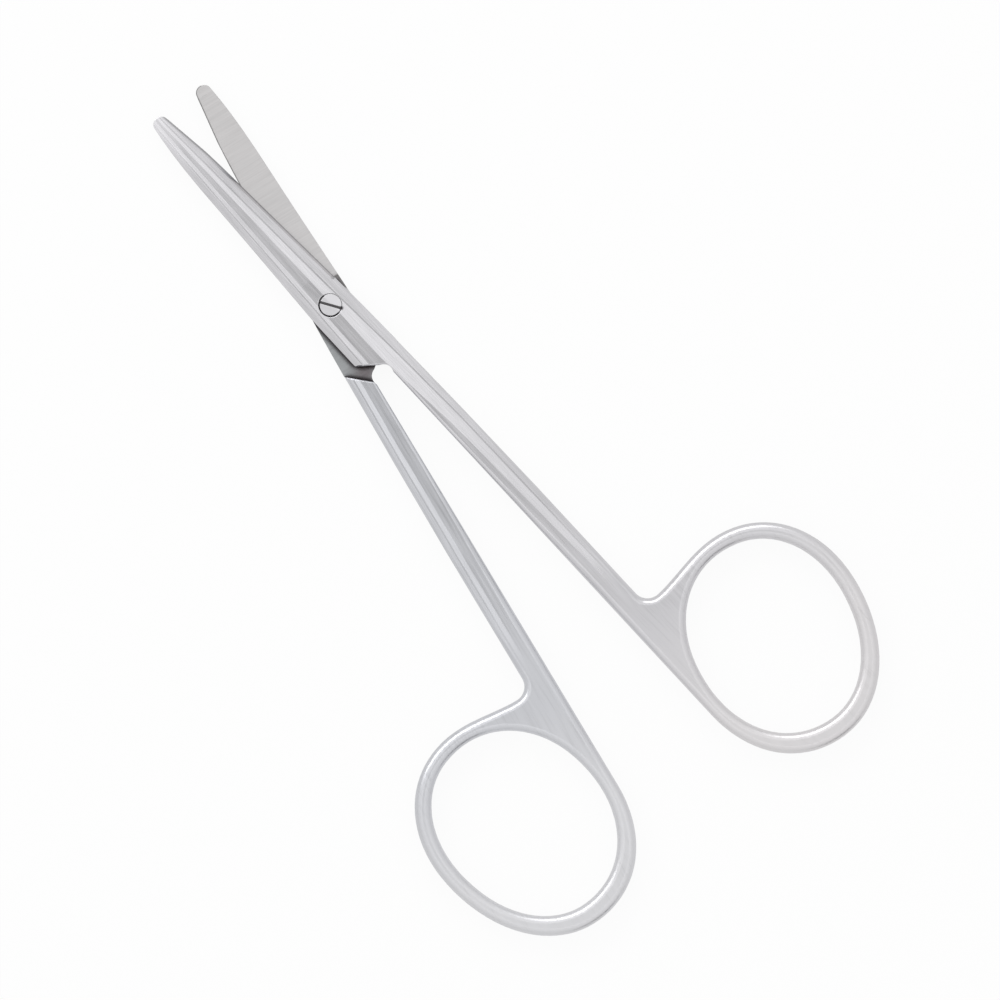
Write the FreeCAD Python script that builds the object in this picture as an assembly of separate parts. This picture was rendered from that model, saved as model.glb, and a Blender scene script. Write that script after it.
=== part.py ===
"""Strabismus scissors: two forged steel halves crossed in a half-lap joint on one slotted screw.

Row frame, millimetres: the origin is on the pivot axis in the plane that the scissors lie on, +Z is up
and +Y runs along the middle of the scissors towards the tips. The halves are twins of one forging. Each
is modelled closed, with its ring on +X and its outer face up, and then turned out by half the opening.
"""
import FreeCAD
import Part
import math
import os

from FreeCAD import Vector

# The joint and the thickness of the forging
THICKNESS = 3.4          # both laps together, and the shanks and rings
RUN_GAP = 0.02           # between the two sliding faces
REST_OPENING = 11.8      # degrees between closed and the pose at rest
CENTRE_GAP = 0.12        # from the closed centre plane to each shank and ring

# The blade, measured from the pivot
BLADE_LENGTH = 31.86
TIP_THICKNESS = 0.8
NOSE_LENGTH = 0.64       # the blunt nose is a flat arc of this height
JOINT_SPINE = 2.94       # centre line to the spine at the pivot
JOINT_EDGE = 2.88        # centre line to the cutting side at the pivot
MID_SPINE = 2.27         # the same two, half way along the blade
MID_EDGE = 2.1
NOSE_SPINE = 1.1         # the same two, where the nose begins
NOSE_EDGE = 0.81
NOSE_TURN = 10.0         # degrees that both sides lean in where the nose begins
JOINT_TURN = 2.5         # degrees that the spine leans in at the pivot
FLAT_FRONT = 4.0         # ahead of this the blade tapers in thickness

# The grinding of the blade
GRIND_START = 2.3        # the hollow and the cutting bevel begin this far ahead of the pivot
HOLLOW_DEPTH = 0.08      # at the pivot, fading out towards the tip
HOLLOW_FADE = 0.85       # share of that depth lost at the hollow's end
HOLLOW_LAND = 0.35       # flat left on both sides of the hollow
HOLLOW_END = 1.3         # flat left behind the tip
BEVEL_WIDTH = 0.35
EDGE_LAND = 0.06         # height left at the cutting edge

# The lap's end, the shoulder of the shank and the round notch between them
LAP_BACK = 7.8           # pivot to the lap's corner on the spine side
LAP_CORNER = 0.6
LAP_END_ANGLE = 38.0     # degrees that the lap's end slants
SHOULDER_BACK = 8.6      # pivot to the shoulder at the shank's outer edge
SHOULDER_ANGLE = 40.0    # degrees that the shoulder slants
NOTCH_RADIUS = 1.26
NOTCH_BACK = 10.85
NOTCH_SIDE = 0.98
EDGE_BREAK = 0.16        # chamfer along the shoulder and the lap's end

# The shank
SHANK_AT_JOINT = 3.14    # centre line to the outer edge, beside the shoulder
SHANK_MIDDLE = 3.36
SHANK_WIDTH = 3.51       # the same, along the straight rear stretch
SHANK_MIDDLE_BACK = 21.0
SHANK_STRAIGHT_BACK = 34.0
EDGE_ROUND = 0.9         # radius of the edges of the ring and of the shank's outer side
INNER_ROUND = (0.25, 0.4, 0.65, 0.9)    # the same on the shank's inner side, growing towards the ring

# The finger ring, an egg whose long axis leans outwards
RING_BACK = 67.69        # pivot to the middle of the hole
RING_TILT = 75.6         # degrees from +X to the long axis
HOLE_FRONT = 12.08       # middle of the hole to its four sides
HOLE_REAR = 12.92
HOLE_INNER = 10.55
HOLE_OUTER = 9.89
WALL_FRONT = 2.0         # the wall on the same four sides
WALL_REAR = 2.65
WALL_INNER = 1.9
WALL_OUTER = 2.12
EGG_POWER = 2.1          # 2 is a plain ellipse, more is squarer
WEB_FILLET = 2.0         # in the corner between shank and ring
WEB_DROP = 0.6           # how far the web's front lies behind the ring's frontmost point

# The pivot screw
HEAD_RADIUS = 1.42
HEAD_HEIGHT = 0.65
JOURNAL_RADIUS = 1.0
THREAD_RADIUS = 0.8
RUN_CLEARANCE = 0.04     # radial, where the upper half turns on the screw
THREAD_CLEARANCE = 0.015
HEAD_CHAMFER = 0.12
RIM_CHAMFER = 0.1        # round the mouth of the head's seat
SLOT_WIDTH = 0.32
SLOT_DEPTH = 0.35
SLOT_ANGLE = -56.5       # degrees from +X in the rest pose
THREAD_POINT = 0.15      # chamfer at the screw's end

# Ridges between the facets of the outer face, each as its side step from the centre line behind the
# joint, at the front of the joint and at the tip
FACET_REAR = 9.0
SPINE_RIDGE = (-2.06, -1.62, -0.76)
FLAT_RIDGE = (-1.5, -1.15, -0.4)
CROWN_RIDGE = (0.14, 0.2, -0.12)
EDGE_RIDGE = (1.94, 1.24, 0.16)
RIDGE_LAND = 0.22        # level land along the spine ridge and the edge ridge
SPINE_SLOPE = 24.0       # degrees, from the spine ridge out to the spine
FLAT_SLOPE = 11.0        # from the flat out to the spine ridge
CROWN_SLOPE = 7.0        # from the flat out to the edge ridge
EDGE_SLOPE = 19.0        # from the edge ridge out to the cutting side
# The two ridges that run on down the shank, measured in from its outer edge at its middle and its rear
SHANK_CROWN = (2.26, 1.6)
SHANK_EDGE = (0.95, 0.85)
SHANK_FACET_REAR = 46.0  # the shank's facets keep their slope up to here and fade out at the web
# The same two on the shank's inner face, behind the shoulder
INNER_CROWN = 1.5
INNER_EDGE = 0.9

# Worked out from the sizes above
MID = THICKNESS / 2
SEAT = MID + RUN_GAP / 2
NOSE = BLADE_LENGTH - NOSE_LENGTH
BACK = RING_BACK + HOLE_REAR + WALL_REAR
REACH = 40.0             # how far a cutting body stands out past the part
CUT = 1.0                # how far a small cut starts outside the metal
EGG_POINTS = 24


def line(start, end):
    return Part.LineSegment(start, end).toShape()


def arc(start, middle, end):
    return Part.Arc(start, middle, end).toShape()


def curve(points, start, end):
    """A smooth edge through the points that leaves and arrives in the two given directions."""
    spline = Part.BSplineCurve()
    spline.interpolate(Points=points, InitialTangent=start, FinalTangent=end, Scale=False)
    return spline.toShape()


def heading(degrees):
    """A unit vector in plan, anticlockwise from +X."""
    return Vector(math.cos(math.radians(degrees)), math.sin(math.radians(degrees)), 0)


def rise(degrees):
    return math.tan(math.radians(degrees))


def upright(edges, bottom, top):
    """A solid with upright walls over a closed plan outline."""
    face = Part.Face(Part.Wire(Part.__sortEdges__(edges)))
    face.translate(Vector(0, 0, bottom))
    return face.extrude(Vector(0, 0, top - bottom))


def loft(stations):
    """A solid through sections across the half, each as its place along Y and its (x, z) corners."""
    wires = []
    for y, corners in stations:
        points = [Vector(x, y, z) for x, z in corners]
        wires.append(Part.makePolygon(points + points[:1]))
    return Part.makeLoft(wires, True, True)


def turned(profile):
    """A solid turned about the pivot axis from (radius, height) corners."""
    points = [Vector(radius, 0, height) for radius, height in profile]
    face = Part.Face(Part.makePolygon(points + points[:1]))
    return face.revolve(Vector(0, 0, 0), Vector(0, 0, 1), 360)


def egg_point(turn, front, rear, inner, outer):
    """The point of an egg at a turn anticlockwise from the side away from the shank."""
    across = math.copysign(abs(math.cos(turn)) ** (2 / EGG_POWER), math.cos(turn))
    along = math.copysign(abs(math.sin(turn)) ** (2 / EGG_POWER), math.sin(turn))
    across *= outer if across > 0 else inner
    along *= front if along > 0 else rear
    return heading(RING_TILT - 90) * across + heading(RING_TILT) * along


def egg(start, *sides):
    step = 2 * math.pi / EGG_POINTS
    return [egg_point(start + step * index, *sides) for index in range(EGG_POINTS)]


def ring_points():
    """The ring's outer points, from where it touches the shank's side, and the points of its hole."""
    hole_sides = (HOLE_FRONT, HOLE_REAR, HOLE_INNER, HOLE_OUTER)
    walls = (WALL_FRONT, WALL_REAR, WALL_INNER, WALL_OUTER)
    sides = [hole + wall for hole, wall in zip(hole_sides, walls)]
    tenths = range(900, 2700)
    touch = min((math.radians(tenth / 10) for tenth in tenths), key=lambda turn: egg_point(turn, *sides).x)
    middle = Vector(CENTRE_GAP - egg_point(touch, *sides).x, -RING_BACK, 0)
    outer = [point + middle for point in egg(touch, *sides)]
    hole = [point + middle for point in egg(0, *hole_sides)]
    return outer, hole


def outer_side():
    """The long edge from the shank's straight stretch past the shoulder to the blade's nose."""
    points = [
        Vector(SHANK_WIDTH, -SHANK_STRAIGHT_BACK, 0),
        Vector(SHANK_MIDDLE, -SHANK_MIDDLE_BACK, 0),
        Vector(SHANK_AT_JOINT, -SHOULDER_BACK, 0),
        Vector(JOINT_EDGE, 0, 0),
        Vector(MID_EDGE, NOSE / 2, 0),
        Vector(NOSE_EDGE, NOSE, 0),
    ]
    return curve(points, heading(90), heading(90 + NOSE_TURN))


def reach_at(side, y):
    """The side step of a long edge of the plan at one station."""
    level = line(Vector(-REACH, y, 0), Vector(REACH, y, 0))
    return side.distToShape(level)[1][0][0].x


def spine_side():
    """The blade's back, from the nose to the pivot."""
    points = [Vector(-NOSE_SPINE, NOSE, 0), Vector(-MID_SPINE, NOSE / 2, 0), Vector(-JOINT_SPINE, 0, 0)]
    return curve(points, heading(-90 - NOSE_TURN), heading(-90 - JOINT_TURN))


def shoulder_line():
    """Two far points on the slanting shoulder, the outer one first."""
    corner = Vector(SHANK_AT_JOINT, -SHOULDER_BACK, 0)
    return corner + heading(SHOULDER_ANGLE) * REACH, corner - heading(SHOULDER_ANGLE) * REACH


def ahead_of_shoulder(bottom, top):
    outer, inner = shoulder_line()
    ahead = heading(SHOULDER_ANGLE + 90) * 3 * REACH
    corners = [outer, outer + ahead, inner + ahead, inner]
    edges = [line(corners[index - 1], corners[index]) for index in range(4)]
    return upright(edges, bottom, top)


def rounded_section(y, outer, inner_round):
    """The shank's section at one station, with small rounds inside and large ones outside."""
    inner_side, top = CENTRE_GAP, THICKNESS
    corners = [
        (Vector(inner_side, y, 0), inner_round, Vector(0, 0, 1), Vector(1, 0, 0)),
        (Vector(outer, y, 0), EDGE_ROUND, Vector(-1, 0, 0), Vector(0, 0, 1)),
        (Vector(outer, y, top), EDGE_ROUND, Vector(0, 0, -1), Vector(-1, 0, 0)),
        (Vector(inner_side, y, top), inner_round, Vector(1, 0, 0), Vector(0, 0, -1)),
    ]
    edges = []
    ends = []
    for corner, radius, before, after in corners:
        centre = corner + (before + after) * radius
        middle = centre - (before + after).normalize() * radius
        edges.append(arc(corner + before * radius, middle, corner + after * radius))
        ends.append((corner + before * radius, corner + after * radius))
    for index in range(4):
        edges.append(line(ends[index - 1][1], ends[index][0]))
    return Part.Wire(Part.__sortEdges__(edges))


def shank():
    """The straight bar between the shoulder and the web."""
    side = outer_side()
    backs = (SHOULDER_BACK / 2, SHANK_MIDDLE_BACK, SHANK_STRAIGHT_BACK, SHANK_FACET_REAR)
    outer = [reach_at(side, -back) for back in backs[:3]] + [SHANK_WIDTH]
    sections = [rounded_section(-back, x, inner) for back, x, inner in zip(backs, outer, INNER_ROUND)]
    bar = Part.makeLoft(sections, True, True)
    return bar.cut(ahead_of_shoulder(-CUT, THICKNESS + CUT))


def ring_and_web():
    """The finger ring and the web, with a stub of the shank, and all their long edges rounded."""
    ring, hole = ring_points()
    front = max(range(EGG_POINTS), key=lambda index: ring[index].y)
    web_y = ring[front].y - WEB_DROP
    web_end = Vector(SHANK_WIDTH + WEB_FILLET, web_y, 0)
    corner = Vector(SHANK_WIDTH + WEB_FILLET, web_y + WEB_FILLET, 0)
    corner_end = Vector(SHANK_WIDTH, corner.y, 0)
    outer_front = Vector(SHANK_WIDTH, -SHANK_FACET_REAR, 0)
    inner_front = Vector(CENTRE_GAP, -SHANK_FACET_REAR, 0)
    outline = [
        curve(ring[:front + 1] + [web_end], heading(-90), heading(180)),
        arc(web_end, corner + heading(-135) * WEB_FILLET, corner_end),
        line(corner_end, outer_front),
        line(outer_front, inner_front),
        line(inner_front, ring[0]),
    ]
    spline = Part.BSplineCurve()
    spline.interpolate(Points=hole, PeriodicFlag=True)
    body = upright(outline, 0, THICKNESS)
    body = body.cut(upright([spline.toShape()], -CUT, THICKNESS + CUT))
    level = [edge for edge in body.Edges if edge.BoundBox.ZLength < RUN_GAP]
    long_edges = [edge for edge in level if edge.BoundBox.YMin < -SHANK_FACET_REAR - RUN_GAP]
    return body.makeFillet(EDGE_ROUND, long_edges)


def lap_and_blade():
    """Half-thickness front part: the lap with its slanting end, and the blade up to its nose."""
    side = outer_side()
    outer_corner = Vector(SHANK_AT_JOINT, -SHOULDER_BACK, 0)
    side_start = side.Curve.parameter(outer_corner)
    nose_edge = Vector(NOSE_EDGE, NOSE, 0)
    nose_spine = Vector(-NOSE_SPINE, NOSE, 0)
    nose_top = Vector((NOSE_EDGE - NOSE_SPINE) / 2, BLADE_LENGTH, 0)
    joint_spine = Vector(-JOINT_SPINE, 0, 0)
    lap_corner = Vector(-JOINT_SPINE, -LAP_BACK, 0)
    lap_end = Vector(CENTRE_GAP, lap_corner.y - (JOINT_SPINE + CENTRE_GAP) * rise(LAP_END_ANGLE), 0)
    inner_corner = Vector(CENTRE_GAP, outer_corner.y - (SHANK_AT_JOINT - CENTRE_GAP) * rise(SHOULDER_ANGLE), 0)
    outline = [
        side.Curve.toShape(side_start, side.LastParameter),
        arc(nose_edge, nose_top, nose_spine),
        spine_side(),
        line(joint_spine, lap_corner),
        line(lap_corner, lap_end),
        line(lap_end, inner_corner),
        line(inner_corner, outer_corner),
    ]
    body = upright(outline, SEAT, THICKNESS)
    corners = [edge for edge in body.Edges if edge.BoundBox.Center.sub(lap_corner).Length < THICKNESS
               and edge.BoundBox.DiagonalLength < THICKNESS]
    return body.makeFillet(LAP_CORNER, corners)


def between(start, end, share):
    return [a + (b - a) * share for a, b in zip(start, end)]


SLOPES = (SPINE_SLOPE, FLAT_SLOPE, CROWN_SLOPE, EDGE_SLOPE)
JOINT_REAR, JOINT_FRONT, TIP = zip(SPINE_RIDGE, FLAT_RIDGE, CROWN_RIDGE, EDGE_RIDGE)


def drops(ridges, slopes):
    """How far the spine ridge and the edge ridge lie below the flat."""
    spine, flat, crown, edge = ridges
    return (flat - spine) * rise(slopes[1]), (edge - crown) * rise(slopes[2])


def facet_section(ridges, slopes, height):
    """Corners of the outer face across one station, from the spine side to the cutting side."""
    spine, flat, crown, edge = ridges
    spine_drop, edge_drop = drops(ridges, slopes)
    spine_out = spine - RIDGE_LAND
    edge_out = edge + RIDGE_LAND
    return [
        (-REACH, -REACH),
        (-REACH, height - spine_drop - (spine_out + REACH) * rise(slopes[0])),
        (spine_out, height - spine_drop),
        (spine, height - spine_drop),
        (flat, height),
        (crown, height),
        (edge, height - edge_drop),
        (edge_out, height - edge_drop),
        (REACH, height - edge_drop - (REACH - edge_out) * rise(slopes[3])),
        (REACH, -REACH),
    ]


def rear_stations(crowns, edges):
    """Stations of a facetted face from behind the ring, where it is level, to the shank's middle."""
    level = (0, 0, 0, 0)
    middle, rear = [JOINT_REAR[:2] + (width - crown, width - edge)
                    for width, crown, edge in zip((SHANK_MIDDLE, SHANK_WIDTH), crowns, edges)]
    return [
        (-BACK - CUT, facet_section(rear, level, THICKNESS)),
        (HOLE_FRONT + WALL_FRONT - RING_BACK, facet_section(rear, level, THICKNESS)),
        (-SHANK_FACET_REAR, facet_section(rear, SLOPES, THICKNESS)),
        (-SHANK_MIDDLE_BACK, facet_section(middle, SLOPES, THICKNESS)),
    ]


def outer_envelope():
    """Everything under the ground facets of the outer face."""
    return loft(rear_stations(SHANK_CROWN, SHANK_EDGE) + [
        (-FACET_REAR, facet_section(JOINT_REAR, SLOPES, THICKNESS)),
        (FLAT_FRONT, facet_section(JOINT_FRONT, SLOPES, THICKNESS)),
        (BLADE_LENGTH, facet_section(TIP, SLOPES, SEAT + TIP_THICKNESS)),
    ])


def inner_envelope():
    """Everything over the facets of the shank's inner face."""
    stations = rear_stations((INNER_CROWN, INNER_CROWN), (INNER_EDGE, INNER_EDGE))
    shoulder = JOINT_REAR[:2] + (SHANK_AT_JOINT - INNER_CROWN, SHANK_AT_JOINT - INNER_EDGE)
    stations.append((-SHOULDER_BACK, facet_section(shoulder, SLOPES, THICKNESS)))
    stations.append((BLADE_LENGTH + CUT, stations[-1][1]))
    return loft(stations).mirror(Vector(0, 0, MID), Vector(0, 0, 1))


def bevel_cutter():
    """Grinds the cutting edge: it leaves a thin land at the edge and a bevel of even width above it."""
    side = outer_side()
    stations = []
    for share in (0, 0.25, 0.5, 0.75, 1):
        y = GRIND_START + share * (NOSE - GRIND_START)
        along = max(0, (y - FLAT_FRONT) / (BLADE_LENGTH - FLAT_FRONT))
        ridges = between(JOINT_FRONT, TIP, along)
        height = THICKNESS + (SEAT + TIP_THICKNESS - THICKNESS) * along
        edge = reach_at(side, y)
        beyond_ridge = edge - BEVEL_WIDTH - ridges[3] - RIDGE_LAND
        top = height - drops(ridges, SLOPES)[1] - beyond_ridge * rise(EDGE_SLOPE)
        slope = (top - SEAT - EDGE_LAND) / BEVEL_WIDTH
        low = (edge + CUT, SEAT + EDGE_LAND - CUT * slope)
        high = (edge - BEVEL_WIDTH - CUT, top + CUT * slope)
        stations.append((y, [low, high, (edge + CUT, high[1])]))
    stations.append((BLADE_LENGTH + CUT, stations[-1][1]))
    return loft(stations)


def hollow_cutter():
    """Grinds the blade's inner face hollow, with a flat land along both sides and at the tip."""
    spine, side = spine_side(), outer_side()
    wires = []
    for share in (0, 0.33, 0.67, 1):
        y = GRIND_START + share * (BLADE_LENGTH - HOLLOW_END - GRIND_START)
        left = Vector(reach_at(spine, y) + HOLLOW_LAND, y, SEAT)
        right = Vector(reach_at(side, y) - HOLLOW_LAND, y, SEAT)
        deepest = (left + right) / 2 + Vector(0, 0, HOLLOW_DEPTH * (1 - HOLLOW_FADE * share))
        down = Vector(0, 0, -CUT)
        edges = [arc(left, deepest, right), line(right, right + down)]
        edges += [line(right + down, left + down), line(left + down, left)]
        wires.append(Part.Wire(edges))
    return Part.makeLoft(wires, True, True)


def edge_breaker(body, corner, degrees, up, beyond):
    """Takes a chamfer off the facetted edge at the top of an upright wall, or at its foot if up is -1.

    The wall runs from the corner in the given direction and its open side is on the right. The chamfer
    runs on past the corner, and past the wall's other end by the last length.
    """
    along, open_side = heading(degrees), heading(degrees - 90)
    levels = {}
    for edge in body.Edges:
        ends = [vertex.Point - corner for vertex in edge.Vertexes]
        in_wall = all(abs(end.dot(open_side)) < RUN_GAP and (end.z - MID) * up > RUN_GAP for end in ends)
        if in_wall and edge.BoundBox.ZLength < edge.Length / 2:
            levels.update((end.dot(along), end.z) for end in ends)
    stations = []
    for y, z in sorted(levels.items()):
        corners = [(-EDGE_BREAK - CUT, z + up * CUT), (CUT, z - up * (EDGE_BREAK + CUT)), (CUT, z + up * CUT)]
        stations.append((y, corners))
    stations.insert(0, (stations[0][0] - CUT, stations[0][1]))
    if beyond:
        stations.append((stations[-1][0] + beyond, stations[-1][1]))
    cutter = loft(stations)
    cutter.rotate(Vector(0, 0, 0), Vector(0, 0, 1), degrees - 90)
    cutter.translate(corner)
    return cutter


def forging():
    """One half with every feature that both have, and no hole for the screw yet."""
    body = ring_and_web().fuse(shank()).fuse(lap_and_blade())
    body = body.common(outer_envelope()).common(inner_envelope())
    shoulder = Vector(SHANK_AT_JOINT, -SHOULDER_BACK, 0)
    lap_corner = Vector(-JOINT_SPINE, -LAP_BACK, 0)
    cutters = [
        edge_breaker(body, shoulder, SHOULDER_ANGLE + 180, -1, CUT),
        edge_breaker(body, lap_corner, -LAP_END_ANGLE, 1, 0),
        Part.makeCylinder(NOTCH_RADIUS, THICKNESS + 2 * CUT, Vector(-NOTCH_SIDE, -NOTCH_BACK, -CUT)),
        bevel_cutter(),
        hollow_cutter(),
    ]
    for cutter in cutters:
        body = body.cut(cutter)
    return body


def screw_seat():
    """Metal removed from the upper half: the journal's bore and the counterbore for the head."""
    bore = JOURNAL_RADIUS + RUN_CLEARANCE
    seat = HEAD_RADIUS + RUN_CLEARANCE
    floor = THICKNESS - HEAD_HEIGHT - RUN_GAP
    rim = THICKNESS - RIM_CHAMFER
    mouth = seat + RIM_CHAMFER + CUT
    top = THICKNESS + CUT
    return turned([(0, -CUT), (bore, -CUT), (bore, floor), (seat, floor), (seat, rim), (mouth, top), (0, top)])


def thread_hole():
    """Metal removed from the lower half, plain where the real one is tapped."""
    radius = THREAD_RADIUS + THREAD_CLEARANCE
    return Part.makeCylinder(radius, THICKNESS + 2 * CUT, Vector(0, 0, -CUT))


def as_upper(shape):
    """The shape turned anticlockwise about the pivot by half of the opening."""
    upper = shape.copy()
    upper.rotate(Vector(0, 0, 0), Vector(0, 0, 1), REST_OPENING / 2)
    return upper


def as_lower(shape):
    """The shape rolled over to face down, and turned clockwise by half of the opening."""
    lower = shape.copy()
    lower.rotate(Vector(0, 0, MID), Vector(0, 1, 0), 180)
    lower.rotate(Vector(0, 0, 0), Vector(0, 0, 1), -REST_OPENING / 2)
    return lower


def pivot_screw():
    """Slotted screw whose head and end are ground off along the outer faces of the two halves."""
    seat = MID - RUN_GAP / 2
    under_head = THICKNESS - HEAD_HEIGHT
    screw = turned([
        (0, 0),
        (THREAD_RADIUS - THREAD_POINT, 0),
        (THREAD_RADIUS, THREAD_POINT),
        (THREAD_RADIUS, seat),
        (JOURNAL_RADIUS, seat),
        (JOURNAL_RADIUS, under_head),
        (HEAD_RADIUS, under_head),
        (HEAD_RADIUS, THICKNESS - HEAD_CHAMFER),
        (HEAD_RADIUS - HEAD_CHAMFER, THICKNESS),
        (0, THICKNESS),
    ])
    slot = Part.makeBox(4 * HEAD_RADIUS, SLOT_WIDTH, 2 * SLOT_DEPTH,
                        Vector(-2 * HEAD_RADIUS, -SLOT_WIDTH / 2, THICKNESS - SLOT_DEPTH))
    slot.rotate(Vector(0, 0, 0), Vector(0, 0, 1), SLOT_ANGLE)
    envelope = outer_envelope()
    return screw.common(as_upper(envelope)).common(as_lower(envelope)).cut(slot)


def main():
    blank = forging()
    nodes = {
        "upper_half": as_upper(blank.cut(screw_seat())),
        "lower_half": as_lower(blank.cut(thread_hole())),
        "pivot_screw": pivot_screw(),
    }
    os.makedirs("parts", exist_ok=True)
    for name, shape in nodes.items():
        if not shape.isValid() or len(shape.Solids) != 1:
            raise ValueError(name + " is not one valid solid")
        shape.Solids[0].exportStep("parts/" + name + ".step")
        print(name, round(shape.Volume, 1), "cubic millimetres")


main()
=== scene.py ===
"""Strabismus scissors: two ground steel halves, their pivot screw and a white studio.

Lengths are in metres in the row frame: the pivot axis is at x = y = 0, the tips point to +Y and the
scissors lie on the plane z = 0.
"""

import bmesh
import bpy
import math
from bpy.props import FloatProperty, FloatVectorProperty, IntProperty, PointerProperty
from bpy.types import Operator, Panel, PropertyGroup
from collections import namedtuple
from mathutils import Matrix, Vector


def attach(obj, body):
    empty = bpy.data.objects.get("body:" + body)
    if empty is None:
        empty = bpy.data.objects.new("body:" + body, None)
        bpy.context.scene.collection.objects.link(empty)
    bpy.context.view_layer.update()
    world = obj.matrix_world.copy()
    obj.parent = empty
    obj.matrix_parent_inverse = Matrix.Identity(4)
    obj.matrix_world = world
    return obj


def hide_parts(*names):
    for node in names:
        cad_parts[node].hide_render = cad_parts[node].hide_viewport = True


bl_info = {
    "name": "Strabismus Scissors",
    "version": (1, 0, 0),
    "blender": (4, 5, 0),
    "location": "View3D > Sidebar > Scissors",
    "description": "Finishes the two halves and the pivot screw, and lights them on a white floor",
    "category": "Object",
}

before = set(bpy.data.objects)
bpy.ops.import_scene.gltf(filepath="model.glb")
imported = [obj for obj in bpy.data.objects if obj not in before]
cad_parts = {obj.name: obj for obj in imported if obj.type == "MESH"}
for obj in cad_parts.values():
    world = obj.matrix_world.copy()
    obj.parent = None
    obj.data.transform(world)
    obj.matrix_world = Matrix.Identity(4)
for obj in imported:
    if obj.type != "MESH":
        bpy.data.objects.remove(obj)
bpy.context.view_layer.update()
MM = 0.001
WHITE = (1, 1, 1)

# Each half is turned this many degrees about the pivot from where it lies when the scissors are closed.
HALF_TURN = 5.9

# Shares of the three sizes of grain in the steel's tone, and the two values of their sum between which the
# steel goes from dull to bright.
SCRATCH_SHARE = 0.4
STREAK_SHARE = 0.4
CLOUD_SHARE = 0.2
DULL_END = 0.34
BRIGHT_END = 0.64

# Where the joint's shade ends, the shank's holds and the ring's begins, as shares of the way back.
JOINT_END = 0.05
SHANK_START = 0.3
SHANK_END = 0.72
RING_START = 0.95

# How far the rounded edge turns the surface where the painted line of shade on a cutting edge begins and
# where it is darkest.
LINE_START = 0.005
LINE_FULL = 0.08

# Share of the bevel's height of painted shade up to which that shade is darkest.
BEVEL_CORE = 0.6

# A joint face takes the full painted shade where this share of its surroundings is open, and none from the
# other on.
SHADED_OPEN = 0.62
UNSHADED_OPEN = 0.86

# How much of its direction a face has to point one way: inner faces to the other half, walls along the half
# and hardly up, and cutting bevels to the side and a little up.
INWARD = 0.7
WALL_LENGTHWISE = 0.6
WALL_UP = 0.1
BEVEL_SIDEWAYS = 0.5
BEVEL_UP = (0.05, 0.7)

# The same for the screw: the slot's floor and walls, and the side of the head's rim that is painted dark as
# shade.
SLOT_FLOOR_UP = 0.9
SLOT_WALL_ACROSS = 0.999
RIM_UP = (0.3, 0.95)
RIM_UNSHADED_SIDE = 0.1

# Corners nearer than the first are one, and a height or a radius is met within the second.
TOUCHING = 0.0001 * MM
NEAR = 0.005 * MM

# Brightness of the dome by the height of a direction, and the share left of it by how far the direction
# points back past the rings, where a dark card stands.
DOME_LEVELS = (
    (0.0, 0.7),
    (0.35, 0.72),
    (0.6, 0.76),
    (0.9, 0.78),
    (0.955, 1.04),
    (0.974, 1.04),
    (0.99, 0.57),
    (1.0, 0.455),
)
CARD_LEVELS = ((0.93, 1.0), (0.97, 0.2))

# Painted shade in round spots. The place and the radius are in mm, the core is the share of the radius
# where the painted shade is darkest, and the tint is what it leaves there of the steel's colour. The first
# three are on the upper half, in its own frame, and the lower half has their twins. The last one is in the
# row frame.
Shading = namedtuple("Shading", "x y radius core tint")
# Painted shadow on the joint faces beside the other half's edge, just ahead of the pivot.
LAP_FRONT_SHADE = Shading(x=-2.6, y=1.9, radius=1.15, core=0.8, tint=(0.36, 0.35, 0.35))
# Painted shade, tinted brown, on the lap face below the other half's lap end.
LAP_BACK_SHADE = Shading(x=0.55, y=-9.3, radius=2.3, core=0.2, tint=(0.6, 0.53, 0.54))
# Painted shade on the outer face where the cutting edge begins, which dims the glint of its rounded corner.
GRIND_START_SHADE = Shading(x=2.6, y=2.35, radius=0.3, core=0.6, tint=(0.45, 0.45, 0.45))
# Painted shadow at the end of the screw's slot, on the screw's head and on the upper half beside it.
SLOT_END_SHADE = Shading(x=0.89, y=-1.13, radius=0.34, core=0.4, tint=(0.15, 0.14, 0.15))


def socket(tree, name, direction, kind):
    """Gives a node tree a named socket on its outside."""
    tree.interface.new_socket(name=name, in_out=direction, socket_type=kind)


def node(tree, kind, **values):
    """A new node with its own properties set by name."""
    made = tree.nodes.new(kind)
    for name, value in values.items():
        setattr(made, name, value)
    return made


def math_node(tree, operation, *inputs):
    """The result of one sum. Each input is a number or another node's output."""
    made = node(tree, "ShaderNodeMath", operation=operation)
    for index, value in enumerate(inputs):
        if isinstance(value, (int, float)):
            made.inputs[index].default_value = value
        else:
            tree.links.new(value, made.inputs[index])
    return made.outputs[0]


def own_frame(tree, turn):
    """Places in the half's own frame, before the half was turned about the pivot."""
    mapping = node(tree, "ShaderNodeMapping", vector_type="TEXTURE")
    mapping.inputs["Rotation"].default_value = (0, 0, math.radians(turn))
    tree.links.new(node(tree, "ShaderNodeTexCoord").outputs["Object"], mapping.inputs["Vector"])
    return mapping.outputs["Vector"]


def own_place(tree, turn):
    """X, Y and Z in the half's own frame."""
    split = node(tree, "ShaderNodeSeparateXYZ")
    tree.links.new(own_frame(tree, turn), split.inputs[0])
    return split.outputs


def share_of_way(tree, value, start, end):
    """How far a value is on its way from start to end, from 0 to 1."""
    way = node(tree, "ShaderNodeMapRange")
    way.inputs["From Min"].default_value = start
    way.inputs["From Max"].default_value = end
    tree.links.new(value, way.inputs["Value"])
    return way.outputs["Result"]


def noise(tree, place, scale, stretch, detail):
    """Noise whose grain is drawn out along each axis by the given lengths."""
    mapping = node(tree, "ShaderNodeMapping", vector_type="TEXTURE")
    mapping.inputs["Scale"].default_value = stretch
    tree.links.new(place, mapping.inputs["Vector"])
    made = node(tree, "ShaderNodeTexNoise")
    made.inputs["Scale"].default_value = scale
    made.inputs["Detail"].default_value = detail
    tree.links.new(mapping.outputs["Vector"], made.inputs["Vector"])
    return made.outputs["Fac"]


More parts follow.
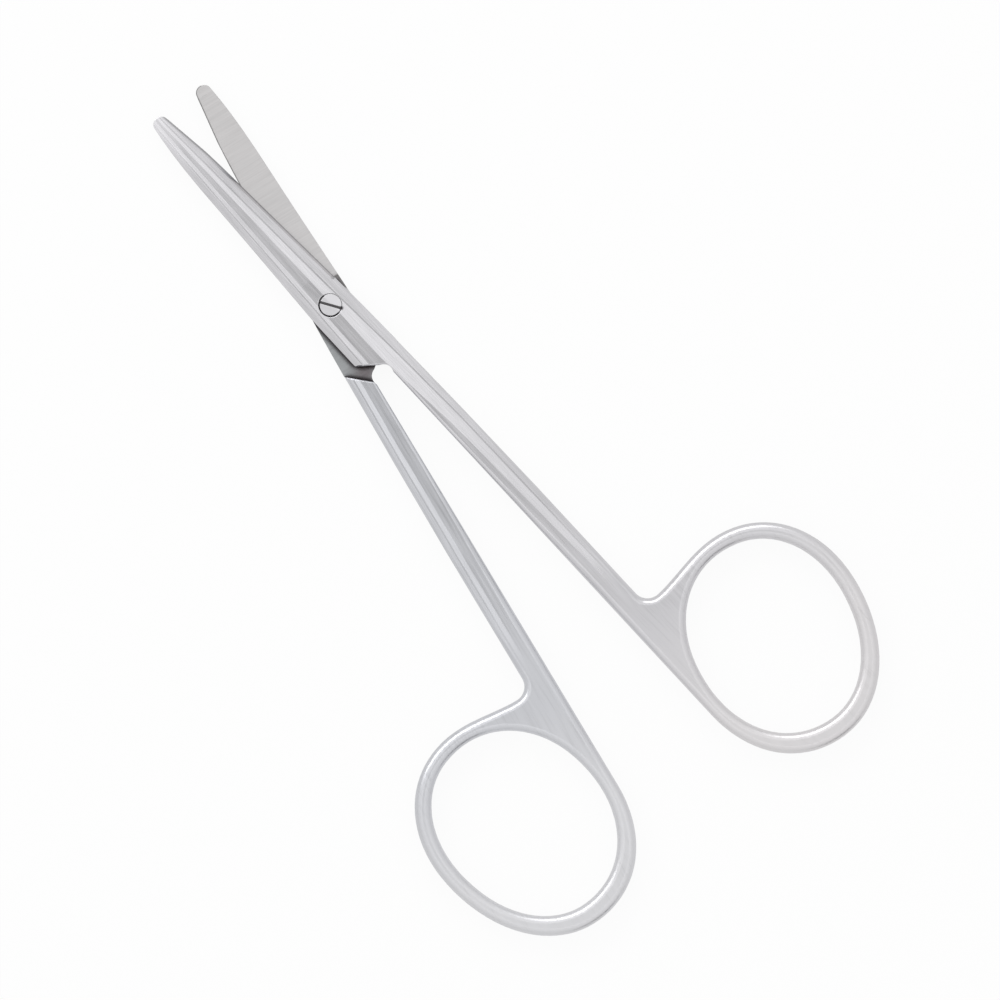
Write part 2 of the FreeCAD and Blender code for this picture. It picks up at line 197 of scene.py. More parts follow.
def colour_ramp(tree, factor, stops):
    """A colour for each place on a scale from 0 to 1."""
    ramp = node(tree, "ShaderNodeValToRGB")
    points = ramp.color_ramp.elements
    while len(points) < len(stops):
        points.new(0.5)
    for point, (position, colour) in zip(points, stops):
        point.position = position
        point.color = (*colour, 1)
    tree.links.new(factor, ramp.inputs["Fac"])
    return ramp.outputs["Color"]


def multiplied(tree, one, other):
    """Two colours multiplied."""
    mix = node(tree, "ShaderNodeMix", data_type="RGBA", blend_type="MULTIPLY")
    mix.inputs["Factor"].default_value = 1.0
    tree.links.new(one, mix.inputs["A"])
    tree.links.new(other, mix.inputs["B"])
    return mix.outputs["Result"]


def shade_by(material, factor, stops):
    """Multiplies a material's colour by the colours on a scale from 0 to 1."""
    tree = material.node_tree
    base = tree.nodes["Principled BSDF"].inputs["Base Color"]
    tree.links.new(multiplied(tree, base.links[0].from_socket, colour_ramp(tree, factor, stops)), base)


def wear_surface(material, finish, scratches):
    """Wears the sharp edges round and cuts the scratches into the surface."""
    tree = material.node_tree
    rounded = node(tree, "ShaderNodeBevel", samples=8)
    rounded.inputs["Radius"].default_value = finish.edge_round
    bump = node(tree, "ShaderNodeBump")
    bump.inputs["Strength"].default_value = 1.0
    bump.inputs["Distance"].default_value = finish.scratch_depth
    tree.links.new(scratches, bump.inputs["Height"])
    tree.links.new(rounded.outputs["Normal"], bump.inputs["Normal"])
    tree.links.new(bump.outputs["Normal"], tree.nodes["Principled BSDF"].inputs["Normal"])


def ground_steel(name, finish, tint, turn, across=False, roughness=None, tone=None):
    """Satin steel: fine scratches along the half or across it, and a slow change of tone over it."""
    material = bpy.data.materials.new(name)
    material.use_nodes = True
    tree = material.node_tree
    shader = tree.nodes["Principled BSDF"]
    shader.inputs["Metallic"].default_value = 1.0
    place = own_frame(tree, turn)
    stretch = (finish.drawn_out, 1, 1) if across else (1, finish.drawn_out, 1)
    scratches = noise(tree, place, finish.scratches, stretch, detail=3.0)
    streaks = noise(tree, place, finish.streaks, stretch, detail=2.0)
    clouds = noise(tree, place, finish.clouds, (1, 1, 1), detail=2.0)
    along = own_place(tree, turn)["Y"]
    behind = share_of_way(tree, along, finish.joint_front, -finish.ring_back)

    tone = finish.tone if tone is None else tone
    grain = math_node(tree, "MULTIPLY", streaks, STREAK_SHARE)
    grain = math_node(tree, "MULTIPLY_ADD", scratches, SCRATCH_SHARE, grain)
    grain = math_node(tree, "MULTIPLY_ADD", clouds, CLOUD_SHARE, grain)
    grain = math_node(tree, "MULTIPLY_ADD", behind, finish.ring_smoother, grain)
    dull = [channel * (1 - tone) for channel in tint]
    steel = colour_ramp(tree, grain, [(DULL_END, dull), (BRIGHT_END, tint)])
    tree.links.new(steel, shader.inputs["Base Color"])
    shank = [finish.shank_shade] * 3
    shade_by(material, behind, [
        (JOINT_END, WHITE),
        (SHANK_START, shank),
        (SHANK_END, shank),
        (RING_START, finish.ring_shade),
    ])

    average = finish.roughness if roughness is None else roughness
    duller = math_node(tree, "MULTIPLY_ADD", behind, finish.ring_duller, average)
    if not across:
        ahead = share_of_way(tree, along, finish.tip_start, finish.tip_end)
        shade_by(material, ahead, [(0.0, WHITE), (1.0, [finish.tip_shade] * 3)])
        duller = math_node(tree, "MULTIPLY_ADD", ahead, finish.tip_duller, duller)
    streak = math_node(tree, "SUBTRACT", streaks, 0.5)
    varied = math_node(tree, "MULTIPLY_ADD", streak, finish.roughness_spread, duller)
    tree.links.new(varied, shader.inputs["Roughness"])
    wear_surface(material, finish, scratches)
    return material


def paint_edge_line_shade(material, finish, turn, up, start):
    """Paints a narrow line of shade along a blade's cutting edge."""
    tree = material.node_tree
    rounded = node(tree, "ShaderNodeBevel", samples=8)
    rounded.inputs["Radius"].default_value = finish.edge_line
    match = node(tree, "ShaderNodeVectorMath", operation="DOT_PRODUCT")
    tree.links.new(rounded.outputs["Normal"], match.inputs[0])
    tree.links.new(node(tree, "ShaderNodeNewGeometry").outputs["True Normal"], match.inputs[1])
    turned = math_node(tree, "SUBTRACT", 1.0, match.outputs["Value"])

    place = own_place(tree, turn)
    on_side = math_node(tree, "GREATER_THAN", math_node(tree, "MULTIPLY", place["X"], up), -finish.edge_side)
    on_blade = math_node(tree, "MULTIPLY", on_side, math_node(tree, "GREATER_THAN", place["Y"], start))
    line = math_node(tree, "MULTIPLY", turned, on_blade)
    shade_by(material, line, [(LINE_START, WHITE), (LINE_FULL, [finish.edge_shade] * 3)])


def paint_bevel_shade(material, finish, faces):
    """Paints shade on the part of a cutting bevel that is next to the edge."""
    tree = material.node_tree
    height = math_node(tree, "SUBTRACT", own_place(tree, 0)["Z"], faces.seat_height)
    share = math_node(tree, "DIVIDE", math_node(tree, "ABSOLUTE", height), faces.shaded)
    shade_by(material, share, [(BEVEL_CORE, [finish.bevel_shade] * 3), (1.0, WHITE)])


def paint_shade_spot(material, shading, turn=0, up=1):
    """Paints shade in a round spot, seen from above. A turn says that its place is in that half's own frame.
    """
    tree = material.node_tree
    level = node(tree, "ShaderNodeVectorMath", operation="MULTIPLY")
    tree.links.new(own_frame(tree, turn), level.inputs[0])
    level.inputs[1].default_value = (1, 1, 0)
    distance = node(tree, "ShaderNodeVectorMath", operation="DISTANCE")
    tree.links.new(level.outputs["Vector"], distance.inputs[0])
    distance.inputs[1].default_value = (shading.x * MM * up, shading.y * MM, 0)
    share = math_node(tree, "DIVIDE", distance.outputs["Value"], shading.radius * MM)
    shade_by(material, share, [(shading.core, shading.tint), (1.0, WHITE)])


def paint_corner_shade(material, finish):
    """Paints shade on a joint face where it runs in under another face, darkest where least of its
    surroundings is open.
    """
    tree = material.node_tree
    surroundings = node(tree, "ShaderNodeAmbientOcclusion", samples=12)
    surroundings.inputs["Distance"].default_value = finish.corner_shade_reach
    shade_by(material, surroundings.outputs["AO"], [(SHADED_OPEN, finish.corner_shade_tint), (UNSHADED_OPEN, WHITE)])


class SteelFinish(PropertyGroup):
    """The ground finish of the steel."""
    upper_tint: FloatVectorProperty(
        name="Upper tint", description="Colour that the upper half mirrors light with",
        subtype="COLOR", size=3, min=0, max=1, default=(0.84, 0.832, 0.858))
    lower_tint: FloatVectorProperty(
        name="Lower tint", description="Colour that the lower half mirrors light with",
        subtype="COLOR", size=3, min=0, max=1, default=(0.82, 0.829, 0.866))
    blade_tint: FloatVectorProperty(
        name="Blade tint", description="Colour of the hollow-ground inner faces",
        subtype="COLOR", size=3, min=0, max=1, default=(0.729, 0.715, 0.716))
    lap_tint: FloatVectorProperty(
        name="Lap tint", description="Colour of the dull faces that slide on each other in the joint",
        subtype="COLOR", size=3, min=0, max=1, default=(0.46, 0.475, 0.485))
    # Painted shade in the joint faces' corners: the colour left where it is darkest and how far it reaches
    # from a wall.
    corner_shade_tint: FloatVectorProperty(
        name="Stain tint", description="What is left of a joint face's colour in its corners",
        subtype="COLOR", size=3, min=0, max=1, default=(0.14, 0.12, 0.125))
    corner_shade_reach: FloatProperty(
        name="Stain reach", description="How far the stain spreads from a wall",
        subtype="DISTANCE", unit="LENGTH", min=0, max=10 * MM, precision=5, default=1 * MM)
    # Dark colour painted inside the screw's slot and on one side of its head's rim, as shade.
    slot_shade_tint: FloatVectorProperty(
        name="Slot tint", description="Colour inside the screw's slot",
        subtype="COLOR", size=3, min=0, max=1, default=(0.15, 0.145, 0.15))
    slot_roughness: FloatProperty(
        name="Slot roughness", description="Average roughness inside the screw's slot",
        subtype="FACTOR", min=0, max=1, default=0.5)
    tone: FloatProperty(
        name="Tone change", description="How much darker the dull streaks are",
        subtype="FACTOR", min=0, max=1, default=0.2)
    blade_tone: FloatProperty(
        name="Blade tone change", description="The same on the inner faces",
        subtype="FACTOR", min=0, max=1, default=0.12)
    screw_tone: FloatProperty(
        name="Screw tone change", description="The same on the screw's head",
        subtype="FACTOR", min=0, max=1, default=0.06)
    ring_smoother: FloatProperty(
        name="Ring smoother", description="How much fewer dull streaks the rings have than the joint",
        subtype="FACTOR", min=0, max=1, default=0.2)
    ring_duller: FloatProperty(
        name="Ring duller", description="How much rougher the rings are than the joint",
        subtype="FACTOR", min=0, max=1, default=0.16)
    shank_shade: FloatProperty(
        name="Shank shade", description="Brightness of the steel at the shanks, compared with the joint",
        subtype="FACTOR", min=0, max=2, default=0.93)
    ring_shade: FloatVectorProperty(
        name="Ring shade", description="The same at the rings, in each colour",
        subtype="COLOR", size=3, min=0, max=2, default=(1.002, 0.99, 0.973))
    tip_shade: FloatProperty(
        name="Tip shade", description="The same at the tips",
        subtype="FACTOR", min=0, max=2, default=1.16)
    tip_duller: FloatProperty(
        name="Tip duller", description="How much rougher the tips are than the joint",
        subtype="FACTOR", min=0, max=1, default=0.07)
    tip_start: FloatProperty(
        name="Tip start", description="The tips' finish begins this far ahead of the pivot",
        subtype="DISTANCE", unit="LENGTH", default=23 * MM)
    tip_end: FloatProperty(
        name="Tip end", description="The tips' finish is strongest this far ahead of the pivot",
        subtype="DISTANCE", unit="LENGTH", default=31 * MM)
    ring_back: FloatProperty(
        name="Ring back", description="The rings' finish is strongest this far behind the pivot",
        subtype="DISTANCE", unit="LENGTH", default=75 * MM)
    joint_front: FloatProperty(
        name="Joint front", description="The joint's finish is strongest this far ahead of the pivot",
        subtype="DISTANCE", unit="LENGTH", default=-10 * MM)
    drawn_out: FloatProperty(
        name="Drawn out", description="How many times longer than wide the scratches are",
        min=1, max=200, default=25)
    roughness: FloatProperty(
        name="Roughness", description="Average roughness of the outer faces",
        subtype="FACTOR", min=0, max=1, default=0.2)
    blade_roughness: FloatProperty(
        name="Blade roughness", description="Average roughness of the inner faces",
        subtype="FACTOR", min=0, max=1, default=0.42)
    screw_roughness: FloatProperty(
        name="Screw roughness", description="Average roughness of the screw",
        subtype="FACTOR", min=0, max=1, default=0.32)
    roughness_spread: FloatProperty(
        name="Roughness spread", description="Change of roughness from streak to streak",
        subtype="FACTOR", min=0, max=1, default=0.14)
    scratches: FloatProperty(
        name="Scratches", description="Fine scratches per metre across the half",
        min=100, max=50000, default=7000)
    streaks: FloatProperty(
        name="Streaks", description="Broader streaks per metre across the half",
        min=10, max=50000, default=1800)
    clouds: FloatProperty(
        name="Clouds", description="Slow changes of tone per metre",
        min=1, max=5000, default=150)
    scratch_depth: FloatProperty(
        name="Scratch depth", description="Depth of the grinding scratches",
        subtype="DISTANCE", unit="LENGTH", min=0, max=0.1 * MM, precision=6, default=0.004 * MM)
    edge_round: FloatProperty(
        name="Edge rounding", description="Radius that the sharp edges are worn to",
        subtype="DISTANCE", unit="LENGTH", min=0, max=1 * MM, precision=6, default=0.12 * MM)
    # The painted line of shade along a cutting edge: its width, how far past the middle it may reach, and
    # what it leaves of the steel's brightness.
    edge_line: FloatProperty(
        name="Edge line", description="Width of the burnished line along a cutting edge",
        subtype="DISTANCE", unit="LENGTH", min=0, max=1 * MM, precision=6, default=0.28 * MM)
    edge_side: FloatProperty(
        name="Edge side", description="How far past the middle of the half, to its back, the line may reach",
        subtype="DISTANCE", unit="LENGTH", min=0, max=10 * MM, precision=5, default=0.3 * MM)
    edge_shade: FloatProperty(
        name="Edge shade", description="What is left of the steel's brightness on that line",
        subtype="FACTOR", min=0, max=1, default=0.35)
    # Painted shade on the cutting bevel next to the edge.
    bevel_shade: FloatProperty(
        name="Bevel shade", description="The same on the bevel, next to the edge",
        subtype="FACTOR", min=0, max=1, default=0.55)


class JointFaces(PropertyGroup):
    """Where the faces of the joint and the blades change their finish."""
    lap_front: FloatProperty(
        name="Lap front", description="The joint faces end this far ahead of the pivot",
        subtype="DISTANCE", unit="LENGTH", precision=5, default=2.9 * MM)
    seat_height: FloatProperty(
        name="Seat height", description="Height of the faces that slide on each other",
        subtype="DISTANCE", unit="LENGTH", precision=5, default=1.7 * MM)
    hollow: FloatProperty(
        name="Hollow", description="How far from that height an inner face's middle may lie",
        subtype="DISTANCE", unit="LENGTH", precision=5, default=0.15 * MM)
    grind_start: FloatProperty(
        name="Grind start", description="The cutting edges begin this far ahead of the pivot",
        subtype="DISTANCE", unit="LENGTH", precision=5, default=2.35 * MM)
    # Height of the cutting bevel that takes painted shade.
    shaded: FloatProperty(
        name="Shaded height", description="Height of the bevel that is burnished",
        subtype="DISTANCE", unit="LENGTH", precision=5, default=0.6 * MM)
    lap_back: FloatProperty(
        name="Lap back", description="The joint faces end this far behind the pivot",
        subtype="DISTANCE", unit="LENGTH", precision=5, default=12.5 * MM)


class ScrewThread(PropertyGroup):
    """The screw's thread, inside the lower half."""
    crest: FloatProperty(
        name="Crest radius", description="Outer radius of the thread",
        subtype="DISTANCE", unit="LENGTH", precision=5, default=0.8 * MM)
    root: FloatProperty(
        name="Root radius", description="Radius of the core between the crests",
        subtype="DISTANCE", unit="LENGTH", precision=5, default=0.64 * MM)
    pitch: FloatProperty(
        name="Pitch", description="Height of one turn",
        subtype="DISTANCE", unit="LENGTH", precision=5, default=0.3 * MM)
    low: FloatProperty(
        name="Thread start", description="Height of the first turn",
        subtype="DISTANCE", unit="LENGTH", precision=5, default=0.2 * MM)
    high: FloatProperty(
        name="Thread end", description="Height of the last turn",
        subtype="DISTANCE", unit="LENGTH", precision=5, default=1.5 * MM)
    shoulder: FloatProperty(
        name="Shoulder", description="Height where the core meets the journal",
        subtype="DISTANCE", unit="LENGTH", precision=5, default=1.69 * MM)
    steps: IntProperty(
        name="Steps", description="Points on one turn of the thread",
        min=8, max=200, default=48)
    slot_floor: FloatProperty(
        name="Slot floor", description="Height of the bottom of the head's slot",
        subtype="DISTANCE", unit="LENGTH", precision=5, default=3.05 * MM)
    slot_turn: FloatProperty(
        name="Slot turn", description="Angle in degrees from +Y to the slot",
        min=-180, max=180, default=37.3)
    solid_slot_turn: FloatProperty(
        name="Solid slot turn", description="The same angle in the screw's solid",
        min=-180, max=180, default=33.5)


class StudioLight(PropertyGroup):
    """The white floor, the lamp and the camera."""
    view_centre: FloatVectorProperty(
        name="View centre", description="Point of the floor at the middle of the picture",
        subtype="TRANSLATION", unit="LENGTH", size=3, default=(2.32 * MM, -32.17 * MM, 0))
    view_width: FloatProperty(
        name="View width", description="Width of the floor that the picture shows",
        subtype="DISTANCE", unit="LENGTH", default=125 * MM)
    view_turn: FloatProperty(
        name="View turn", description="Angle from the picture's upward direction to the tips, anticlockwise",
        subtype="ANGLE", unit="ROTATION", default=math.radians(36.92))
    lens: FloatProperty(name="Lens", description="Focal length in millimetres", min=20, max=1000, default=600)
    floor_tint: FloatVectorProperty(
        name="Floor tint", description="Colour of the floor as a surface",
        subtype="COLOR", size=3, min=0, max=1, default=(0.95, 0.95, 0.95))
    floor_size: FloatProperty(
        name="Floor size", description="Width of the square floor",
        subtype="DISTANCE", unit="LENGTH", default=4)
    floor_white: FloatProperty(
        name="Floor white", description="Share of the floor that shows as plain white; the rest takes shadow",
        subtype="FACTOR", min=0, max=1, default=0.92)
    mirrored_white: FloatProperty(
        name="Mirrored white", description="Brightness of the floor as the steel mirrors it",
        subtype="FACTOR", min=0, max=1, default=0.74)
    key_power: FloatProperty(
        name="Key power", description="Power of the long lamp beyond the tips",
        subtype="POWER", unit="POWER", min=0, default=2.0)
    key_size: FloatVectorProperty(
        name="Key size", description="Width and height of that lamp",
        subtype="XYZ_LENGTH", unit="LENGTH", size=2, default=(1.1, 0.35))
    key_place: FloatVectorProperty(
        name="Key place", description="Middle of that lamp",
        subtype="TRANSLATION", unit="LENGTH", size=3, default=(0.15, 0.62, 0.5))
    key_target: FloatVectorProperty(
        name="Key target", description="Point of the floor that the lamp faces",
        subtype="TRANSLATION", unit="LENGTH", size=3, default=(0.15, -0.03, 0))


def finish_half(name, turn, up, materials, faces):
    """Paints one half with its outer, inner, joint and cutting edge materials, in this order."""
    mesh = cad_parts[name].data
    mesh.materials.clear()
    for material in materials:
        mesh.materials.append(material)
    square = Matrix.Rotation(math.radians(-turn), 3, "Z")
    for face in mesh.polygons:
        centre = square @ face.center
        facing = square @ face.normal
        inner = facing.z * up < -INWARD and abs(centre.z - faces.seat_height) < faces.hollow
        wall = abs(facing.z) < WALL_UP and abs(facing.y) > WALL_LENGTHWISE
        bevel = facing.x * up > BEVEL_SIDEWAYS and BEVEL_UP[0] < facing.z * up < BEVEL_UP[1]
        if inner and centre.y > -faces.lap_back:
            face.material_index = 1 if centre.y > faces.lap_front else 2
        elif wall and -faces.lap_back < centre.y < faces.lap_front:
            face.material_index = 2
        elif bevel and centre.y > faces.grind_start:
            face.material_index = 3


class SCISSORS_OT_halves(Operator):
    """Give the two halves their ground steel finish"""
    bl_idname = "scissors.halves"
    bl_label = "Finish Halves"

    def execute(self, context):
        finish = context.scene.scissors_finish
        faces = context.scene.scissors_faces
        for name, tint, turn, up in (
            ("upper_half", finish.upper_tint, HALF_TURN, 1),
            ("lower_half", finish.lower_tint, -HALF_TURN, -1),
        ):
            outer = ground_steel(name + "_steel", finish, tint, turn)
            blade = ground_steel(name + "_blade", finish, finish.blade_tint, turn, across=True,
                                 roughness=finish.blade_roughness, tone=finish.blade_tone)
            # Painted line of shade along the cutting edge of the inner face.
            paint_edge_line_shade(blade, finish, turn, up, faces.grind_start)
            lap = ground_steel(name + "_lap", finish, finish.lap_tint, turn, across=True,
                               roughness=finish.blade_roughness)
            # Painted shade in the corners of the joint faces.
            paint_corner_shade(lap, finish)
            bevel = ground_steel(name + "_bevel", finish, tint, turn)
            # Painted shade on the cutting bevel next to the edge.
            paint_bevel_shade(bevel, finish, faces)
            # Painted shade beside the other half's edge, under its lap end and where the cutting edge begins;
            # painted shadow at the slot's end.
            paint_shade_spot(blade, LAP_FRONT_SHADE, turn, up)
            paint_shade_spot(lap, LAP_FRONT_SHADE, turn, up)
            paint_shade_spot(lap, LAP_BACK_SHADE, turn, up)
            paint_shade_spot(outer, GRIND_START_SHADE, turn, up)
            if name == "upper_half":
                paint_shade_spot(outer, SLOT_END_SHADE)
            finish_half(name, turn, up, (outer, blade, lap, bevel), faces)
        return {"FINISHED"}


def thread_tree():
    """Geometry Nodes tree that winds one ridge of a thread round the core."""
    tree = bpy.data.node_groups.new("screw_thread", "GeometryNodeTree")
    socket(tree, "Geometry", "OUTPUT", "NodeSocketGeometry")
    for name in ("Crest Radius", "Root Radius", "Pitch", "Start Height", "End Height"):
        socket(tree, name, "INPUT", "NodeSocketFloat")
    socket(tree, "Steps", "INPUT", "NodeSocketInt")
    socket(tree, "Material", "INPUT", "NodeSocketMaterial")
    inputs = node(tree, "NodeGroupInput").outputs
    length = math_node(tree, "SUBTRACT", inputs["End Height"], inputs["Start Height"])
    turns = math_node(tree, "DIVIDE", length, inputs["Pitch"])
    depth = math_node(tree, "SUBTRACT", inputs["Crest Radius"], inputs["Root Radius"])

    helix = node(tree, "GeometryNodeCurveSpiral")
    tree.links.new(inputs["Steps"], helix.inputs["Resolution"])
    tree.links.new(turns, helix.inputs["Rotations"])
    tree.links.new(inputs["Root Radius"], helix.inputs["Start Radius"])
    tree.links.new(inputs["Root Radius"], helix.inputs["End Radius"])
    tree.links.new(length, helix.inputs["Height"])

    ridge = node(tree, "GeometryNodeCurvePrimitiveCircle", mode="RADIUS")
    ridge.inputs["Resolution"].default_value = 3
    tree.links.new(depth, ridge.inputs["Radius"])
    wound = node(tree, "GeometryNodeCurveToMesh")
    wound.inputs["Fill Caps"].default_value = True
    tree.links.new(helix.outputs["Curve"], wound.inputs["Curve"])
    tree.links.new(ridge.outputs["Curve"], wound.inputs["Profile Curve"])

    lift = node(tree, "ShaderNodeCombineXYZ")
    tree.links.new(inputs["Start Height"], lift.inputs["Z"])
    raised = node(tree, "GeometryNodeTransform")
    tree.links.new(wound.outputs["Mesh"], raised.inputs["Geometry"])
    tree.links.new(lift.outputs[0], raised.inputs["Translation"])
    realized = node(tree, "GeometryNodeRealizeInstances")
    tree.links.new(raised.outputs["Geometry"], realized.inputs["Geometry"])
    painted = node(tree, "GeometryNodeSetMaterial")
    tree.links.new(realized.outputs["Geometry"], painted.inputs["Geometry"])
    tree.links.new(inputs["Material"], painted.inputs["Material"])
    output = node(tree, "NodeGroupOutput")
    tree.links.new(painted.outputs["Geometry"], output.inputs["Geometry"])
    return tree


def made_by(tree, name, **values):
    """A plain mesh object that a Geometry Nodes tree makes from the given inputs."""
    start = bpy.data.objects.new(name, bpy.data.meshes.new(name))
    bpy.context.scene.collection.objects.link(start)
    modifier = start.modifiers.new(name, "NODES")
    modifier.node_group = tree
    for item in tree.interface.items_tree:
        if item.in_out == "INPUT":
            modifier[item.identifier] = values[item.name.replace(" ", "_").lower()]
    ready = start.evaluated_get(bpy.context.evaluated_depsgraph_get())
    mesh = bpy.data.meshes.new_from_object(ready)
    start.modifiers.remove(modifier)
    start.data = mesh
    return start


class SCISSORS_OT_screw(Operator):
    """Make the slotted pivot screw with its thread"""
    bl_idname = "scissors.screw"
    bl_label = "Make Screw"

    def execute(self, context):
        finish = context.scene.scissors_finish
        sizes = context.scene.scissors_thread
        steel = ground_steel("screw_steel", finish, finish.upper_tint, sizes.slot_turn,
                             roughness=finish.screw_roughness, tone=finish.screw_tone)
        # Painted shadow at the end of the slot.
        paint_shade_spot(steel, SLOT_END_SHADE)
        # Dark material for the painted shade in the slot and on the rim.
        dark = ground_steel("screw_slot", finish, finish.slot_shade_tint, sizes.slot_turn,
                            roughness=finish.slot_roughness)
        made = bmesh.new()
        made.from_mesh(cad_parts["pivot_screw"].data)
        bmesh.ops.remove_doubles(made, verts=made.verts, dist=TOUCHING)
        driven = Matrix.Rotation(math.radians(sizes.slot_turn - sizes.solid_slot_turn), 3, "Z")
        for vertex in made.verts:
            vertex.co = driven @ vertex.co
            radius = vertex.co.xy.length
            if vertex.co.z < sizes.shoulder + NEAR and sizes.root < radius < sizes.crest + NEAR:
                vertex.co.xy *= sizes.root / radius
        square = Matrix.Rotation(math.radians(-sizes.slot_turn), 3, "Z")
        for face in made.faces:
            height = face.calc_center_median().z
            facing = square @ face.normal
            floor = abs(height - sizes.slot_floor) < NEAR and facing.z > SLOT_FLOOR_UP
            wall = abs(facing.x) > SLOT_WALL_ACROSS
            rim = RIM_UP[0] < face.normal.z < RIM_UP[1] and face.normal.x < RIM_UNSHADED_SIDE
            # Painted shade: the slot's floor and walls and the head's rim on its -X side get the dark
            # material.
            face.material_index = 1 if floor or (height > sizes.slot_floor and (wall or rim)) else 0
        mesh = bpy.data.meshes.new("pivot_screw_threaded")
        made.to_mesh(mesh)
        made.free()
        mesh.materials.append(steel)
        mesh.materials.append(dark)
        screw = bpy.data.objects.new("pivot_screw_threaded", mesh)
        context.scene.collection.objects.link(screw)
        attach(screw, "lower")
        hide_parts("pivot_screw")

        thread = made_by(thread_tree(), "pivot_screw_thread", crest_radius=sizes.crest,
                         root_radius=sizes.root, pitch=sizes.pitch, start_height=sizes.low,
                         end_height=sizes.high, steps=sizes.steps, material=steel)
        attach(thread, "lower")
        return {"FINISHED"}


def floor_material(tint, white_share, mirrored_white):
    """White that still takes the shadow of what lies on it."""
    material = bpy.data.materials.new("white_floor")
    material.use_nodes = True
    tree = material.node_tree
    shader = tree.nodes["Principled BSDF"]
    shader.inputs["Base Color"].default_value = (*tint, 1)
    shader.inputs["Roughness"].default_value = 0.9
    path = node(tree, "ShaderNodeLightPath")
    seen = math_node(tree, "MAXIMUM", path.outputs["Is Camera Ray"], path.outputs["Is Glossy Ray"])
    glow = node(tree, "ShaderNodeEmission")
    mirrored = math_node(tree, "MULTIPLY", path.outputs["Is Glossy Ray"], mirrored_white)
    strength = math_node(tree, "MAXIMUM", path.outputs["Is Camera Ray"], mirrored)
    tree.links.new(strength, glow.inputs["Strength"])
    mix = node(tree, "ShaderNodeMixShader")
    tree.links.new(math_node(tree, "MULTIPLY", seen, white_share), mix.inputs[0])
    tree.links.new(shader.outputs[0], mix.inputs[1])
    tree.links.new(glow.outputs[0], mix.inputs[2])
    tree.links.new(mix.outputs[0], tree.nodes["Material Output"].inputs["Surface"])
    return material


def dome_world():
    """A soft white dome, dimmer straight overhead, which the camera sees as plain white."""
    world = bpy.data.worlds.new("white_dome")
    world.use_nodes = True
    tree = world.node_tree
    background = tree.nodes["Background"]
    direction = node(tree, "ShaderNodeTexCoord").outputs["Generated"]
    split = node(tree, "ShaderNodeSeparateXYZ")
    tree.links.new(direction, split.inputs[0])
    dome = colour_ramp(tree, split.outputs["Z"], [(height, [level] * 3) for height, level in DOME_LEVELS])
    back = math_node(tree, "MULTIPLY", split.outputs["Y"], -1.0)
    card = colour_ramp(tree, back, [(share, [level] * 3) for share, level in CARD_LEVELS])
    dome = multiplied(tree, dome, card)
    path = node(tree, "ShaderNodeLightPath")
    mix = node(tree, "ShaderNodeMix", data_type="RGBA")
    mix.inputs["B"].default_value = (*WHITE, 1)
    tree.links.new(path.outputs["Is Camera Ray"], mix.inputs["Factor"])
    tree.links.new(dome, mix.inputs["A"])
    tree.links.new(mix.outputs["Result"], background.inputs["Color"])
    return world


def area_lamp(name, power, size, place, target):
    """A soft lamp aimed at a point."""
    data = bpy.data.lights.new(name, "AREA")
    data.shape = "RECTANGLE"
    data.size, data.size_y = size
    data.energy = power
    lamp = bpy.data.objects.new(name, data)
    aim = Vector(target) - Vector(place)
    lamp.matrix_world = Matrix.Translation(place) @ aim.to_track_quat("-Z", "Y").to_matrix().to_4x4()
    bpy.context.scene.collection.objects.link(lamp)
    return lamp


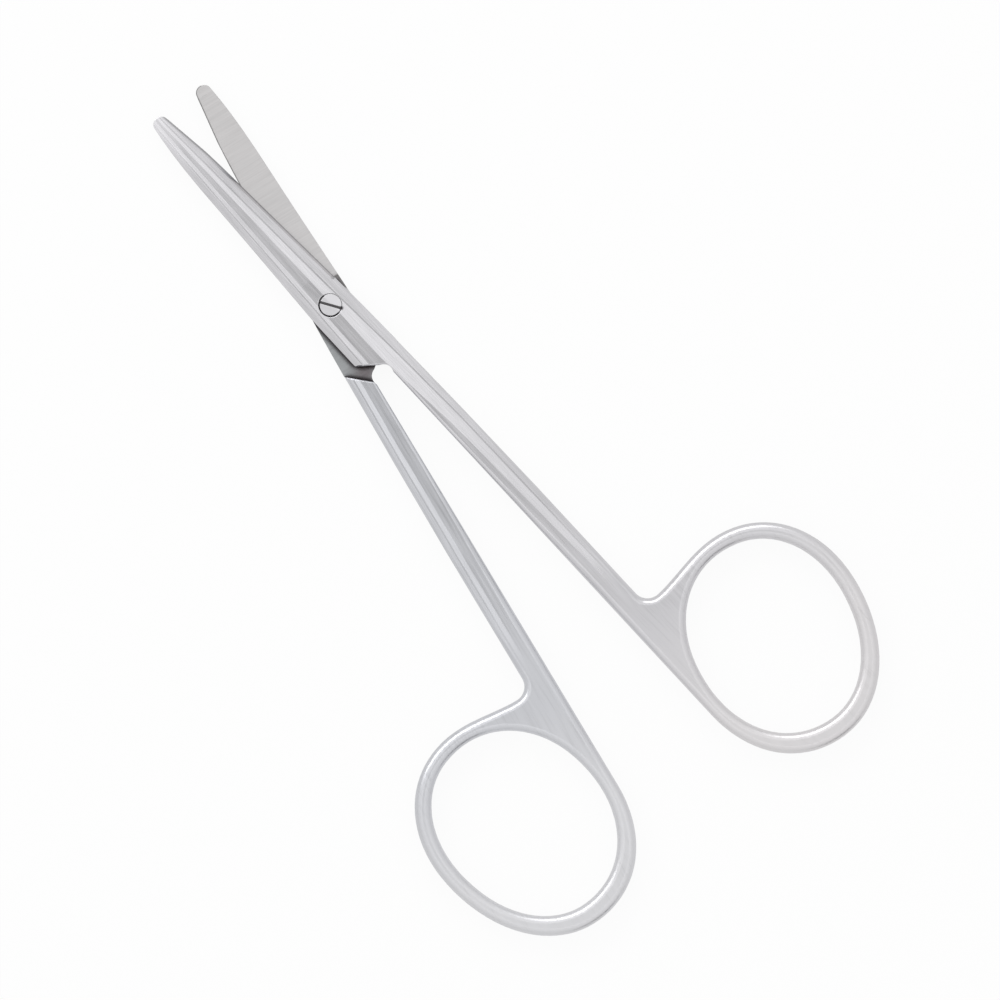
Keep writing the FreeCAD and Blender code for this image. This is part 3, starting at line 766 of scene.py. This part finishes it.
class SCISSORS_OT_studio(Operator):
    """Make the white floor, the light and the camera"""
    bl_idname = "scissors.studio"
    bl_label = "Make Studio"

    def execute(self, context):
        studio = context.scene.scissors_studio
        half = studio.floor_size / 2
        mesh = bpy.data.meshes.new("floor")
        corners = [(-half, -half, 0), (half, -half, 0), (half, half, 0), (-half, half, 0)]
        mesh.from_pydata(corners, [], [(0, 1, 2, 3)])
        mesh.materials.append(floor_material(studio.floor_tint, studio.floor_white, studio.mirrored_white))
        floor = bpy.data.objects.new("floor", mesh)
        context.scene.collection.objects.link(floor)

        context.scene.world = dome_world()
        area_lamp("key_lamp", studio.key_power, studio.key_size, studio.key_place, studio.key_target)

        data = bpy.data.cameras.new("photo_camera")
        data.lens = studio.lens
        data.sensor_width = 36
        distance = studio.view_width * studio.lens / data.sensor_width
        data.clip_start = 0.01
        data.clip_end = 20
        camera = bpy.data.objects.new("photo_camera", data)
        above = Vector(studio.view_centre) + Vector((0, 0, distance))
        camera.matrix_world = Matrix.Translation(above) @ Matrix.Rotation(-studio.view_turn, 4, "Z")
        context.scene.collection.objects.link(camera)
        context.scene.camera = camera
        context.scene.view_settings.view_transform = "Standard"
        return {"FINISHED"}


class SCISSORS_PT_panel(Panel):
    """Steps that finish and light the scissors"""
    bl_idname = "SCISSORS_PT_panel"
    bl_label = "Scissors"
    bl_space_type = "VIEW_3D"
    bl_region_type = "UI"
    bl_category = "Scissors"

    def draw(self, context):
        layout = self.layout
        scene = context.scene
        parts = (scene.scissors_finish, scene.scissors_faces, scene.scissors_thread, scene.scissors_studio)
        for settings in parts:
            box = layout.box()
            for name in settings.__annotations__:
                box.prop(settings, name)
        for operator in (SCISSORS_OT_halves, SCISSORS_OT_screw, SCISSORS_OT_studio):
            layout.operator(operator.bl_idname)


CLASSES = (
    SteelFinish,
    JointFaces,
    ScrewThread,
    StudioLight,
    SCISSORS_OT_halves,
    SCISSORS_OT_screw,
    SCISSORS_OT_studio,
    SCISSORS_PT_panel,
)


def register():
    for item in CLASSES:
        bpy.utils.register_class(item)
    bpy.types.Scene.scissors_finish = PointerProperty(type=SteelFinish)
    bpy.types.Scene.scissors_faces = PointerProperty(type=JointFaces)
    bpy.types.Scene.scissors_thread = PointerProperty(type=ScrewThread)
    bpy.types.Scene.scissors_studio = PointerProperty(type=StudioLight)


def unregister():
    del bpy.types.Scene.scissors_finish
    del bpy.types.Scene.scissors_faces
    del bpy.types.Scene.scissors_thread
    del bpy.types.Scene.scissors_studio
    for item in reversed(CLASSES):
        bpy.utils.unregister_class(item)


def main():
    register()
    bpy.ops.scissors.halves()
    bpy.ops.scissors.screw()
    bpy.ops.scissors.studio()


if __name__ == "__main__":
    main()
